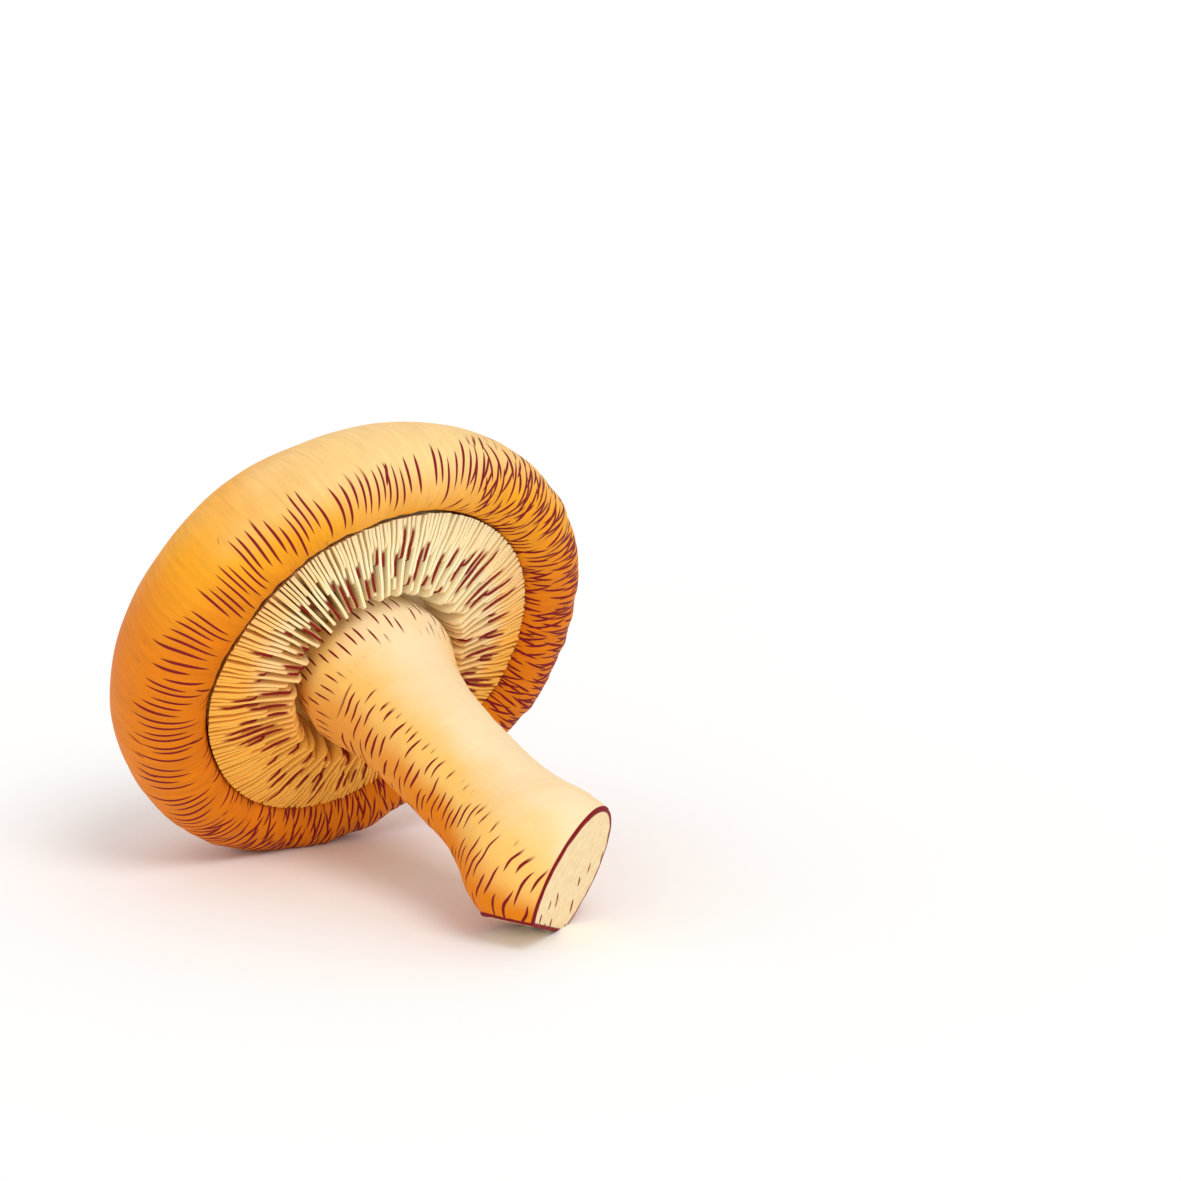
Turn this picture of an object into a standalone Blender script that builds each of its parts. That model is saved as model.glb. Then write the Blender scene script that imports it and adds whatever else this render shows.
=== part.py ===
"""Shiitake mushroom, cut and lying on its side.

The mushroom is modelled upright about its own axis, with the plane of the gill edge at z = 0,
the cap above it and the stem below. An empty then lays it down on the plane z = 0, where it
rests on the pressed rim of its cap and on the heel of its stem.
"""
import math
import random

import bmesh
import bpy
from mathutils import Matrix, Vector

MM = 0.001
TURN = 2.0 * math.pi

# Cap
CAP_RADIUS = 34.5 * MM
DOME_HEIGHT = 23.8 * MM
RIM_HEIGHT = 4.6 * MM
LIP_DROP = 1.3 * MM
LIP_WIDTH = 10.7 * MM
LIP_TURN = math.radians(150.0)
CAP_SIDES = 52
DOME_STEPS = 13
LIP_STEPS = 9

# Growth of the cap: angles run round its axis, from the side that lies uppermost
# Each lobe has its number of waves round the rim, its height as a share of the radius, its place
LOBES = ((1, 0.008, 60.0), (2, 0.018, 48.0), (3, 0.006, 20.0), (5, 0.005, 40.0), (7, 0.004, 12.0))
PRESS_DEPTH = 3.4 * MM
PRESS_SIDE = math.radians(150.0)
PRESS_SPREAD = math.radians(33.0)
SAG = 2.4 * MM
SAG_SIDE = math.radians(75.0)
SHOULDER_DROP = 0.12
SHOULDER_SIDE = math.radians(41.0)
EVEN_RADIUS = 12.5 * MM

# Bed of the gills in the cap
BED_RADIUS = 24.1 * MM
BED_FLOOR_RIM = 3.4 * MM
BED_FLOOR_MIDDLE = 5.6 * MM
BED_RINGS = (0.0, 0.5, 0.66, 0.84, 1.0)
GAP = 0.3 * MM

# Gills
GILL_FLESH = 1.7 * MM
GILL_ROOT = 1.0 * MM
GILL_THICKNESS = 0.65 * MM
GILL_COUNT = 120
GILL_OUTER_RADIUS = 23.5 * MM
GILL_STARTS = (11.6 * MM, 18.8 * MM, 14.8 * MM, 18.8 * MM)
GILL_CELLS = (6, 3, 5, 3)
GILL_EDGE_RIM = 0.4 * MM
GILL_EDGE_DIP = 2.1 * MM
GILL_EDGE_CURVE = 1.4
GILL_TIP_RISE = 0.7 * MM
GILL_TIP_LENGTH = 2.5 * MM
GILL_START_DRAW = (-0.6 * MM, 0.9 * MM)
GILL_ANGLE_DRAW = 0.07
GILL_SEED = 7

# Stem: at each station the distance below the gill edge, the radius and the shift to the heel
STEM_STATIONS = (
    (-3.3, 10.6, 0.0),
    (-1.0, 10.8, 0.0),
    (2.4, 11.2, 0.0),
    (5.8, 10.2, 0.2),
    (10.2, 8.9, 0.6),
    (17.0, 8.3, 0.9),
    (25.0, 8.15, 1.0),
    (32.0, 8.3, 1.0),
    (38.0, 9.3, 1.3),
    (43.0, 10.7, 1.5),
    (48.0, 10.8, 1.2),
    (53.0, 9.2, 0.9),
    (59.0, 7.0, 0.6),
    (65.0, 5.5, 0.5),
)
HEEL_SIDE = math.radians(248.0)
STEM_RINGS_PER_STATION = 3
STEM_BEVEL_RESOLUTION = 13
CUT_DISTANCE = 50.0 * MM
CUT_SLANT = math.radians(28.0)
# Second cut, which trims the foot's underside: the side it faces, its slope towards the foot's
# end, and its distance from the middle of the gill edge
TRIM_SIDE = math.radians(202.4)
TRIM_SLOPE = math.radians(26.9)
TRIM_DISTANCE = 30.1 * MM

# The way it lies
AXIS_LEAN = math.radians(23.1)
AXIS_HEIGHT = 28.05 * MM
CUTTER_SIZE = 0.2

SMOOTH_ANGLE = math.radians(40.0)


def clear_scene():
    """Remove every object of the open scene."""
    for obj in list(bpy.data.objects):
        bpy.data.objects.remove(obj, do_unlink=True)


def new_collection(name):
    """A collection linked to the scene."""
    collection = bpy.data.collections.new(name)
    bpy.context.scene.collection.children.link(collection)
    return collection


def material(name, colour, roughness):
    """A plain Principled material."""
    made = bpy.data.materials.new(name)
    made.use_nodes = True
    shader = made.node_tree.nodes["Principled BSDF"]
    shader.inputs["Base Color"].default_value = (*colour, 1.0)
    shader.inputs["Roughness"].default_value = roughness
    shader.inputs["Metallic"].default_value = 0.0
    return made


def smooth_step(low, high, value):
    """A smooth rise from 0 at low to 1 at high."""
    share = min(1.0, max(0.0, (value - low) / (high - low)))
    return share * share * (3.0 - 2.0 * share)


def side_bump(angle, centre, spread):
    """A smooth bump round one side of the cap."""
    away = math.remainder(angle - centre, TURN)
    return math.exp(-((away / spread) ** 2))


def grown(point):
    """Move a point of the turned cap or gills to where uneven growth puts it."""
    x, y, z = point
    radius = math.hypot(x, y)
    angle = math.atan2(y, x)
    reach = smooth_step(EVEN_RADIUS, BED_RADIUS, radius)
    share = radius / CAP_RADIUS
    lobes = sum(size * math.cos(count * (angle - math.radians(at))) for count, size, at in LOBES)
    pressed = PRESS_DEPTH * side_bump(angle, PRESS_SIDE, PRESS_SPREAD)
    new_radius = radius * (1.0 + reach * lobes) - reach * pressed
    new_z = z - SAG * math.cos(angle - SAG_SIDE) * share**3
    if z > RIM_HEIGHT:
        shoulder = (0.5 + 0.5 * math.cos(angle - SHOULDER_SIDE)) ** 2
        new_z -= (z - RIM_HEIGHT) * SHOULDER_DROP * shoulder * share**2
    return Vector((new_radius * math.cos(angle), new_radius * math.sin(angle), new_z))


def bed_floor(radius):
    """Height of the bed that the gills hang from."""
    share = smooth_step(EVEN_RADIUS, BED_RADIUS, radius)
    return BED_FLOOR_MIDDLE + (BED_FLOOR_RIM - BED_FLOOR_MIDDLE) * share


def cap_profile():
    """Half section of the cap, from the top of the dome down its outer side to the bed's middle."""
    points = []
    for step in range(DOME_STEPS + 1):
        around = 0.5 * math.pi * step / DOME_STEPS
        points.append((CAP_RADIUS * math.sin(around), RIM_HEIGHT + DOME_HEIGHT * math.cos(around)))
    lip_centre = CAP_RADIUS - 0.5 * LIP_WIDTH
    for step in range(1, LIP_STEPS + 1):
        around = LIP_TURN * step / LIP_STEPS
        lip_radius = lip_centre + 0.5 * LIP_WIDTH * math.cos(around)
        points.append((lip_radius, RIM_HEIGHT - (RIM_HEIGHT + LIP_DROP) * math.sin(around)))
    for share in reversed(BED_RINGS):
        radius = share * BED_RADIUS
        points.append((radius, bed_floor(radius)))
    return points


def turned_mesh(name, profile, sides):
    """Mesh of a profile turned about the Z axis with a Screw modifier."""
    outline = bpy.data.meshes.new(name + "_profile")
    points = [(radius, 0.0, height) for radius, height in profile]
    edges = [(index, index + 1) for index in range(len(points) - 1)]
    outline.from_pydata(points, edges, [])
    blank = bpy.data.objects.new(name + "_blank", outline)
    bpy.context.scene.collection.objects.link(blank)
    screw = blank.modifiers.new("turn", "SCREW")
    screw.steps = sides
    screw.render_steps = sides
    screw.use_merge_vertices = True
    screw.merge_threshold = 0.00001
    graph = bpy.context.evaluated_depsgraph_get()
    mesh = bpy.data.meshes.new_from_object(blank.evaluated_get(graph))
    mesh.name = name
    bpy.data.objects.remove(blank, do_unlink=True)
    bpy.data.meshes.remove(outline)
    return mesh


def grow(mesh):
    """Give a turned mesh the uneven growth of the real thing."""
    for vertex in mesh.vertices:
        vertex.co = grown(vertex.co)


def add_piece(name, mesh, finish, collection, axis):
    """Put a finished mesh in the scene as a smooth-shaded piece of the mushroom."""
    mesh.materials.clear()
    mesh.materials.append(finish)
    mesh.shade_smooth()
    mesh.set_sharp_from_angle(angle=SMOOTH_ANGLE)
    piece = bpy.data.objects.new(name, mesh)
    piece.parent = axis
    collection.objects.link(piece)
    return piece


def add_cutter(name, collection):
    """A box used only for cutting."""
    bpy.ops.mesh.primitive_cube_add(size=CUTTER_SIZE)
    cutter = bpy.context.object
    cutter.name = name
    for owner in list(cutter.users_collection):
        owner.objects.unlink(cutter)
    collection.objects.link(cutter)
    cutter.hide_render = True
    cutter.display_type = "WIRE"
    return cutter


def cut(piece, cutter):
    """Take a cutter's volume away from a piece."""
    boolean = piece.modifiers.new(cutter.name, "BOOLEAN")
    boolean.operation = "DIFFERENCE"
    boolean.object = cutter


def make_cap(collection, axis):
    """Domed cap with its rolled-in lip and the shallow bed below it."""
    finish = material("cap_skin", (0.72, 0.36, 0.11), 0.55)
    mesh = turned_mesh("cap", cap_profile(), CAP_SIDES)
    grow(mesh)
    return add_piece("cap", mesh, finish, collection, axis)


def gill_edge(radius):
    """Height of a gill's free edge: level with the lip outside, lower towards the stem."""
    inward = (GILL_OUTER_RADIUS - radius) / (GILL_OUTER_RADIUS - EVEN_RADIUS)
    tip = smooth_step(GILL_OUTER_RADIUS - GILL_TIP_LENGTH, GILL_OUTER_RADIUS, radius)
    dip = GILL_EDGE_DIP * max(0.0, inward) ** GILL_EDGE_CURVE
    return GILL_TIP_RISE * tip - GILL_EDGE_RIM - dip


def gill_flesh_profile():
    """Half section of the flesh that the gills hang from, down its outer side."""
    radii = [share * (BED_RADIUS - GAP) for share in BED_RINGS]
    top = [(radius, bed_floor(radius) - GAP) for radius in radii]
    bottom = [(radius, bed_floor(radius) - GAP - GILL_FLESH) for radius in reversed(radii)]
    return top + bottom


def gill_blade(index, start, angle, cells, collection):
    """One gill: an upright strip from the stem side to the lip, given its thickness."""
    shape = bmesh.new()
    bmesh.ops.create_grid(shape, x_segments=cells, y_segments=1, size=0.5)
    for vertex in shape.verts:
        radius = start + (vertex.co.x + 0.5) * (GILL_OUTER_RADIUS - start)
        height = gill_edge(radius)
        if vertex.co.y > 0.0:
            height = bed_floor(radius) - GAP - GILL_FLESH + GILL_ROOT
        vertex.co = (radius, 0.0, height)
    shape.normal_update()
    bmesh.ops.solidify(shape, geom=shape.faces[:], thickness=GILL_THICKNESS)
    middle = sum(vertex.co.y for vertex in shape.verts) / len(shape.verts)
    bmesh.ops.translate(shape, verts=shape.verts, vec=(0.0, -middle, 0.0))
    turn = Matrix.Rotation(angle, 3, "Z")
    bmesh.ops.rotate(shape, verts=shape.verts, cent=(0.0, 0.0, 0.0), matrix=turn)
    for vertex in shape.verts:
        vertex.co = grown(vertex.co)
    bmesh.ops.recalc_face_normals(shape, faces=shape.faces)
    if shape.calc_volume(signed=True) < 0.0:
        bmesh.ops.reverse_faces(shape, faces=shape.faces)
    mesh = bpy.data.meshes.new(f"gill_{index}")
    shape.to_mesh(mesh)
    shape.free()
    collection.objects.link(bpy.data.objects.new(mesh.name, mesh))


def make_gills(collection, axis):
    """The pale layer: gills of three lengths, sunk into the flesh that they hang from."""
    finish = material("gill_flesh", (0.93, 0.74, 0.45), 0.6)
    draw = random.Random(GILL_SEED)
    blades = new_collection("gill_blades")
    spacing = TURN / GILL_COUNT
    for index in range(GILL_COUNT):
        kind = index % len(GILL_STARTS)
        start = GILL_STARTS[kind]
        if kind:
            start += draw.uniform(*GILL_START_DRAW)
        angle = spacing * (index + draw.uniform(-GILL_ANGLE_DRAW, GILL_ANGLE_DRAW))
        gill_blade(index, start, angle, GILL_CELLS[kind], blades)
    mesh = turned_mesh("gills", gill_flesh_profile(), CAP_SIDES)
    grow(mesh)
    gills = add_piece("gills", mesh, finish, collection, None)
    join = gills.modifiers.new("join_gills", "BOOLEAN")
    join.operation = "UNION"
    join.operand_type = "COLLECTION"
    join.collection = blades
    join.solver = "MANIFOLD"
    graph = bpy.context.evaluated_depsgraph_get()
    joined = bpy.data.meshes.new_from_object(gills.evaluated_get(graph))
    bpy.data.objects.remove(gills, do_unlink=True)
    for blade in list(blades.objects):
        bpy.data.objects.remove(blade, do_unlink=True)
    bpy.data.collections.remove(blades)
    joined.name = "gills"
    return add_piece("gills", joined, finish, collection, axis)


def stem_curve():
    """The stem as one thick curve, whose radius follows the stations."""
    curve = bpy.data.curves.new("stem_line", "CURVE")
    curve.dimensions = "3D"
    curve.bevel_depth = 1.0 * MM
    curve.bevel_resolution = STEM_BEVEL_RESOLUTION
    curve.resolution_u = STEM_RINGS_PER_STATION
    curve.use_fill_caps = True
    spline = curve.splines.new("BEZIER")
    spline.radius_interpolation = "CARDINAL"
    spline.bezier_points.add(len(STEM_STATIONS) - 1)
    for point, (distance, radius, lean) in zip(spline.bezier_points, STEM_STATIONS):
        sideways = Vector((math.cos(HEEL_SIDE), math.sin(HEEL_SIDE), 0.0)) * lean * MM
        point.co = sideways - Vector((0.0, 0.0, distance * MM))
        point.radius = radius
        point.handle_left_type = "AUTO"
        point.handle_right_type = "AUTO"
    return bpy.data.objects.new("stem_line", curve)


def make_stem(collection, axis):
    """Stout stem with a flared top and a swollen foot, still longer than the knife leaves it."""
    finish = material("stem_flesh", (0.95, 0.68, 0.34), 0.65)
    line = stem_curve()
    bpy.context.scene.collection.objects.link(line)
    graph = bpy.context.evaluated_depsgraph_get()
    mesh = bpy.data.meshes.new_from_object(line.evaluated_get(graph))
    mesh.name = "stem"
    bpy.data.objects.remove(line, do_unlink=True)
    shape = bmesh.new()
    shape.from_mesh(mesh)
    bmesh.ops.remove_doubles(shape, verts=shape.verts, dist=0.00001)
    bmesh.ops.recalc_face_normals(shape, faces=shape.faces)
    shape.to_mesh(mesh)
    shape.free()
    return add_piece("stem", mesh, finish, collection, axis)


def knife_cutter(collection, axis):
    """Box whose near face is the knife's slanted plane through the foot of the stem."""
    cutter = add_cutter("knife_cutter", collection)
    cutter.parent = axis
    outward = Vector((0.0, math.sin(CUT_SLANT), -math.cos(CUT_SLANT)))
    cutter.location = Vector((0.0, 0.0, -CUT_DISTANCE)) + 0.5 * CUTTER_SIZE * outward
    cutter.rotation_euler = (CUT_SLANT, 0.0, 0.0)
    return cutter


def trim_cutter(collection, axis):
    """Box whose near face is the second, straight cut along the underside of the foot."""
    cutter = add_cutter("trim_cutter", collection)
    cutter.parent = axis
    level = math.cos(TRIM_SLOPE)
    outward = Vector((level * math.cos(TRIM_SIDE), level * math.sin(TRIM_SIDE), -math.sin(TRIM_SLOPE)))
    cutter.location = (TRIM_DISTANCE + 0.5 * CUTTER_SIZE) * outward
    cutter.rotation_euler = outward.to_track_quat("Z", "Y").to_euler()
    return cutter


def ground_cutter(collection):
    """Box below the surface: it leaves the flat spots that the mushroom rests on."""
    cutter = add_cutter("ground_cutter", collection)
    cutter.location = (0.0, 0.0, -0.5 * CUTTER_SIZE)
    return cutter


def centre_over_origin(axis, pieces):
    """Slide the mushroom so that its bounding box is centred over the origin."""
    bpy.context.view_layer.update()
    graph = bpy.context.evaluated_depsgraph_get()
    corners = []
    for piece in pieces:
        shaped = piece.evaluated_get(graph)
        corners.extend(shaped.matrix_world @ vertex.co for vertex in shaped.data.vertices)
    for side in (0, 1):
        values = [corner[side] for corner in corners]
        axis.location[side] -= 0.5 * (min(values) + max(values))


def main():
    """Build the mushroom and lay it down."""
    clear_scene()
    mushroom = new_collection("shiitake")
    cutters = new_collection("cutters")
    axis = bpy.data.objects.new("mushroom_axis", None)
    mushroom.objects.link(axis)
    axis.rotation_euler = (0.0, AXIS_LEAN - 0.5 * math.pi, 0.0)
    axis.location = (0.0, 0.0, AXIS_HEIGHT)
    cap = make_cap(mushroom, axis)
    gills = make_gills(mushroom, axis)
    stem = make_stem(mushroom, axis)
    knife = knife_cutter(cutters, axis)
    trim = trim_cutter(cutters, axis)
    ground = ground_cutter(cutters)
    cut(stem, knife)
    cut(stem, trim)
    cut(cap, ground)
    cut(stem, ground)
    centre_over_origin(axis, (cap, gills, stem))


main()
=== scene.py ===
"""Shiitake mushroom, cut and lying on its side: its skin, gills and flesh, the light and the view.

Each piece is modelled upright about the mushroom's own axis, with the edge of the gills at z = 0,
the cap above and the stem below. It is then laid down where the frame has it.
"""
import math
import random

import bpy
from bpy.props import FloatProperty, FloatVectorProperty, PointerProperty
from bpy.types import Operator, Panel, PropertyGroup
from mathutils import Matrix, Vector, noise


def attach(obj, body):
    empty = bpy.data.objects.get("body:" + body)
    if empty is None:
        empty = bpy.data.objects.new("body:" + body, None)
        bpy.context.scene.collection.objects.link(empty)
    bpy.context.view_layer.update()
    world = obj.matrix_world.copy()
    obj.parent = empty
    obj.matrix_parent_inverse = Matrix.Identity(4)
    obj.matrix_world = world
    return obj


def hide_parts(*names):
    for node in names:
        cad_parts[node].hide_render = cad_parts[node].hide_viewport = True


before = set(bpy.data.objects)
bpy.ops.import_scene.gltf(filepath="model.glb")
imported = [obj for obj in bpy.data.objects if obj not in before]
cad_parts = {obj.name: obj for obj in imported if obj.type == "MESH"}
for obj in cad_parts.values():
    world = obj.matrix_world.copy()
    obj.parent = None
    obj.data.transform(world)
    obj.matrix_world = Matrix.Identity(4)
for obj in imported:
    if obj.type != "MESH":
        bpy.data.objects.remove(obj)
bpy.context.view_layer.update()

bl_info = {
    "name": "Shiitake Mushroom",
    "version": (1, 0, 0),
    "blender": (4, 5, 0),
    "location": "3D View > Sidebar > Mushroom",
    "description": "Models a cut shiitake that lies on its side, and the stage it lies on",
    "category": "Add Mesh",
}

MM = 0.001
TURN = 2.0 * math.pi

# Form of the cap, as in the frame
CAP_RADIUS = 34.5 * MM
DOME_HEIGHT = 23.8 * MM
RIM_HEIGHT = 4.6 * MM
LIP_DROP = 1.3 * MM
LIP_WIDTH = 10.7 * MM
LIP_TURN = math.radians(150.0)
LOBES = ((1, 0.008, 60.0), (2, 0.018, 48.0), (3, 0.006, 20.0), (5, 0.005, 40.0), (7, 0.004, 12.0))
PRESS_DEPTH = 3.4 * MM
PRESS_SIDE = math.radians(150.0)
PRESS_SPREAD = math.radians(33.0)
SAG = 2.4 * MM
SAG_SIDE = math.radians(75.0)
SHOULDER_DROP = 0.12
SHOULDER_SIDE = math.radians(41.0)
EVEN_RADIUS = 12.5 * MM
BED_RADIUS = 24.1 * MM
BED_FLOOR_RIM = 3.4 * MM
BED_FLOOR_MIDDLE = 5.6 * MM
BED_RINGS = (1.0, 0.98, 0.84, 0.66, 0.5, 0.0)
GAP = 0.3 * MM

# Form of the gills, as in the frame
GILL_FLESH = 1.7 * MM
GILL_ROOT = 1.0 * MM
GILL_COUNT = 120
GILL_OUTER_RADIUS = 23.5 * MM
GILL_STARTS = (11.6 * MM, 18.8 * MM, 14.8 * MM, 18.8 * MM)
GILL_EDGE_RIM = 0.4 * MM
GILL_EDGE_DIP = 2.1 * MM
GILL_EDGE_CURVE = 1.4
GILL_TIP_RISE = 0.7 * MM
GILL_TIP_LENGTH = 2.5 * MM
GILL_START_DRAW = (-0.6 * MM, 0.9 * MM)
GILL_ANGLE_DRAW = 0.07
GILL_SEED = 7
# How far the free edge of a gill reaches beyond its root, to follow the lip
GILL_TIP_REACH = 1.4 * MM
GILL_TIP_REACH_LENGTH = 4.0 * MM
# How much of its height a gill loses at its inner end, and over what length
GILL_END_RISE = 0.7
GILL_END_LENGTH = 2.2 * MM
# Length of a gill's waves, and length and height of those of its free edge
GILL_WAVE_LENGTH = 5.0 * MM
GILL_EDGE_WAVE_LENGTH = 2.2 * MM
GILL_EDGE_WAVE = 0.15 * MM
GILL_PHASE_STEP = 1.7
# How many cells long a gill is that starts nearer the axis than each radius, and how much they
# crowd at its inner end
GILL_CELLS = ((14.0 * MM, 14), (18.0 * MM, 10), (GILL_OUTER_RADIUS, 8))
GILL_CELL_CROWDING = 1.4
# The finer gills that stand between each four gills of the frame: place in gill spacings, and start
FINE_GILLS = ((0.5, 16.6 * MM), (1.33, 12.2 * MM), (2.67, 12.2 * MM), (3.5, 16.6 * MM))
# The dark stretch of painted shade on a finer gill's free edge, which stands for the shade in the
# gaps between gills: how many have one, how far out it may lie, and its half length
SHADE_DASH_SHARE = 0.8
SHADE_DASH_RADIUS = 20.0 * MM
SHADE_DASH_HALF_LENGTH = (1.6 * MM, 3.8 * MM)
SHADE_DASH_SEED = 11

# Form of the stem: distance below the gill edge, radius and shift to the heel, in millimetres
STEM_STATIONS = (
    (-3.3, 10.6, 0.0),
    (-1.0, 10.8, 0.0),
    (2.4, 11.2, 0.0),
    (5.8, 10.2, 0.2),
    (10.2, 8.9, 0.6),
    (17.0, 8.3, 0.9),
    (25.0, 8.15, 1.0),
    (32.0, 8.3, 1.0),
    (38.0, 9.3, 1.3),
    (43.0, 10.7, 1.5),
    (48.0, 10.8, 1.2),
    (53.0, 9.2, 0.9),
    (59.0, 7.0, 0.6),
    (65.0, 5.5, 0.5),
)
STEM_END = 58.5 * MM
HEEL_SIDE = math.radians(248.0)
HEEL = Vector((math.cos(HEEL_SIDE), math.sin(HEEL_SIDE), 0.0))
CUT_DISTANCE = 50.0 * MM
CUT_SLANT = math.radians(28.0)
TRIM_SIDE = math.radians(202.4)
TRIM_SLOPE = math.radians(26.9)
TRIM_DISTANCE = 30.1 * MM
TRIM_NORMAL = Vector((
    math.cos(TRIM_SLOPE) * math.cos(TRIM_SIDE),
    math.cos(TRIM_SLOPE) * math.sin(TRIM_SIDE),
    -math.sin(TRIM_SLOPE),
))
# Widths of the rings inside the rim of each cut, the shortest edge there, and how crisp the rim is
CUT_RINGS = (0.4 * MM, 0.9 * MM, 1.6 * MM, 2.2 * MM, 2.4 * MM)
TRIM_RINGS = (0.4 * MM, 0.8 * MM)
CUT_MERGE = 0.35 * MM
CUT_CREASE = 0.9

# Where the mushroom's axis lies
AXIS_LEAN = math.radians(23.1)
AXIS_PLACE = Vector((-10.997 * MM, 0.199 * MM, 28.05 * MM))
AXIS_TURN = (0.0, AXIS_LEAN - 0.5 * math.pi, 0.0)
LYING = Matrix.Translation(AXIS_PLACE) @ Matrix.Rotation(AXIS_TURN[1], 4, "Y")
# Direction, about the axis, of the lower side, where shade is painted into the colour of cap, gills and stem;
# the upper side opposite has painted light
PAINTED_SHADE_SIDE = Vector((math.cos(math.radians(184.0)), math.sin(math.radians(184.0)), 0.0))
# Direction, about the axis, of the side of the lip with the most fibres, where their crowding, their cross
# strokes and a deeper tone are partly painted shade
FIBRE_SHADE_SIDE = Vector((math.cos(math.radians(115.0)), math.sin(math.radians(115.0)), 0.0))

# Mean radii of the dome's and the lip's half section, in millimetres, and the share of the dome's
# height below which the bed still lies
DOME_MEAN_RADIUS = 29.5
LIP_MEAN_RADIUS = 5.4
BED_SHARE = 0.1
# Noise on the sides of cap and stem: how fast it changes round the axis, its length in millimetres
# and its offset
BROAD_PUCKERS = (11.0, 9.0, 0.0)
NARROW_PUCKERS = (24.0, 7.0, 4.0)
BROAD_FLUTES = (1.3, 30.0, 0.0)
NARROW_FLUTES = (3.4, 20.0, 7.0)
STEM_SCALES = (2.2, 0.9, 0.0)
# Widths of the dome's swellings, in millimetres
BROAD_SWELLING = 17.0
SMALL_SWELLING = 6.0
# Grain of a cut face, and how near to the cut a point has to lie to be on it
CUT_GRAIN_WIDTH = 1.6 * MM
CUT_GRAIN_HEIGHT = 0.12 * MM
ON_CUT = 0.12 * MM
# How much more it counts for a cut face that it faces the right way than that it is wide
FACING_POWER = 9

# Radius, in millimetres, at which the cap and the gills have the full painted light or painted shade of their
# side
CAP_TONE_RADIUS = 33.0
GILL_TONE_RADIUS = 22.0

# Steps round the axis of the cap and of the flesh that the gills hang from
ROUND_STEPS = 96

# Strokes in a material: place in their cell and how far it is drawn from there, how pointed they
# are, and where their edge fades from nothing to full. A pattern with ENDLESS cells one way
# never meets itself there.
STROKE_PLACE = 0.35
STROKE_DRAW = -0.3
STROKE_TAPER = 1.5
STROKE_EDGE = (1.15, 0.7)
ENDLESS = 1000.0

# The view: width of the picture, and where the middle of the gill edge falls in it
PICTURE_PIXELS = 1181
AXIS_PIXEL = (370.0, 667.0)
PIXEL = 0.1378 * MM
SENSOR_WIDTH = 36.0
VIEW_REACH = 20.0

# The stage, in metres, and how far to the right, up and near each light stands
FLOOR_RADIUS = 4.0
FLOOR_SIDES = 96
KEY_FROM = (0.3, 0.65, 0.7)
FILL_FROM = (-0.3, -0.2, 1.0)


def colour(code):
    """Linear red, green and blue of an sRGB hex value."""
    values = [int(code[place:place + 2], 16) / 255.0 for place in (1, 3, 5)]
    return tuple(v / 12.92 if v <= 0.04045 else ((v + 0.055) / 1.055) ** 2.4 for v in values)


def smooth_step(low, high, value):
    """A smooth rise from 0 at low to 1 at high."""
    share = min(1.0, max(0.0, (value - low) / (high - low)))
    return share * share * (3.0 - 2.0 * share)


def side_bump(angle, centre, spread):
    """A smooth bump round one side of the cap."""
    away = math.remainder(angle - centre, TURN)
    return math.exp(-((away / spread) ** 2))


def grown(point):
    """Move a point of the turned cap or gills to where uneven growth puts it."""
    x, y, z = point
    radius = math.hypot(x, y)
    angle = math.atan2(y, x)
    reach = smooth_step(EVEN_RADIUS, BED_RADIUS, radius)
    share = radius / CAP_RADIUS
    lobes = sum(size * math.cos(count * (angle - math.radians(at))) for count, size, at in LOBES)
    pressed = PRESS_DEPTH * side_bump(angle, PRESS_SIDE, PRESS_SPREAD)
    new_radius = radius * (1.0 + reach * lobes) - reach * pressed
    new_z = z - SAG * math.cos(angle - SAG_SIDE) * share**3
    if z > RIM_HEIGHT:
        shoulder = (0.5 + 0.5 * math.cos(angle - SHOULDER_SIDE)) ** 2
        new_z -= (z - RIM_HEIGHT) * SHOULDER_DROP * shoulder * share**2
    return Vector((new_radius * math.cos(angle), new_radius * math.sin(angle), new_z))


def bed_floor(radius):
    """Height of the bed that the gills hang from."""
    share = smooth_step(EVEN_RADIUS, BED_RADIUS, radius)
    return BED_FLOOR_MIDDLE + (BED_FLOOR_RIM - BED_FLOOR_MIDDLE) * share


def gill_edge(radius):
    """Height of a gill's free edge: level with the lip outside, lower towards the stem."""
    inward = (GILL_OUTER_RADIUS - radius) / (GILL_OUTER_RADIUS - EVEN_RADIUS)
    tip = smooth_step(GILL_OUTER_RADIUS - GILL_TIP_LENGTH, GILL_OUTER_RADIUS, radius)
    dip = GILL_EDGE_DIP * max(0.0, inward) ** GILL_EDGE_CURVE
    return GILL_TIP_RISE * tip - GILL_EDGE_RIM - dip


def stem_at(distance):
    """Radius and shift to the heel of the stem, on a smooth curve through its stations."""
    spot = distance / MM
    last = len(STEM_STATIONS) - 1
    after = next((i for i in range(1, last) if STEM_STATIONS[i][0] >= spot), last)
    rows = [STEM_STATIONS[min(last, max(0, after + step))] for step in (-2, -1, 0, 1)]
    length = rows[2][0] - rows[1][0]
    share = (spot - rows[1][0]) / length
    values = []
    for column in (1, 2):
        start = rows[1][column]
        end = rows[2][column]
        leaving = (end - rows[0][column]) / (rows[2][0] - rows[0][0]) * length
        arriving = (rows[3][column] - start) / (rows[3][0] - rows[1][0]) * length
        bend = 3.0 * (end - start) - 2.0 * leaving - arriving
        twist = 2.0 * (start - end) + leaving + arriving
        values.append((start + leaving * share + bend * share**2 + twist * share**3) * MM)
    return values


def waves(x, y, z):
    """Smooth noise between about -1 and 1."""
    return noise.noise(Vector((x, y, z)))


def side_waves(east, north, down, pattern):
    """Smooth noise on the side of a turned form, of one of the patterns above."""
    rate, length, offset = pattern
    return waves(rate * east, rate * north, offset + down / length)


def only(obj):
    """Make an object the only selected one, and the active one."""
    bpy.ops.object.select_all(action="DESELECT")
    obj.select_set(True)
    bpy.context.view_layer.objects.active = obj


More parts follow.
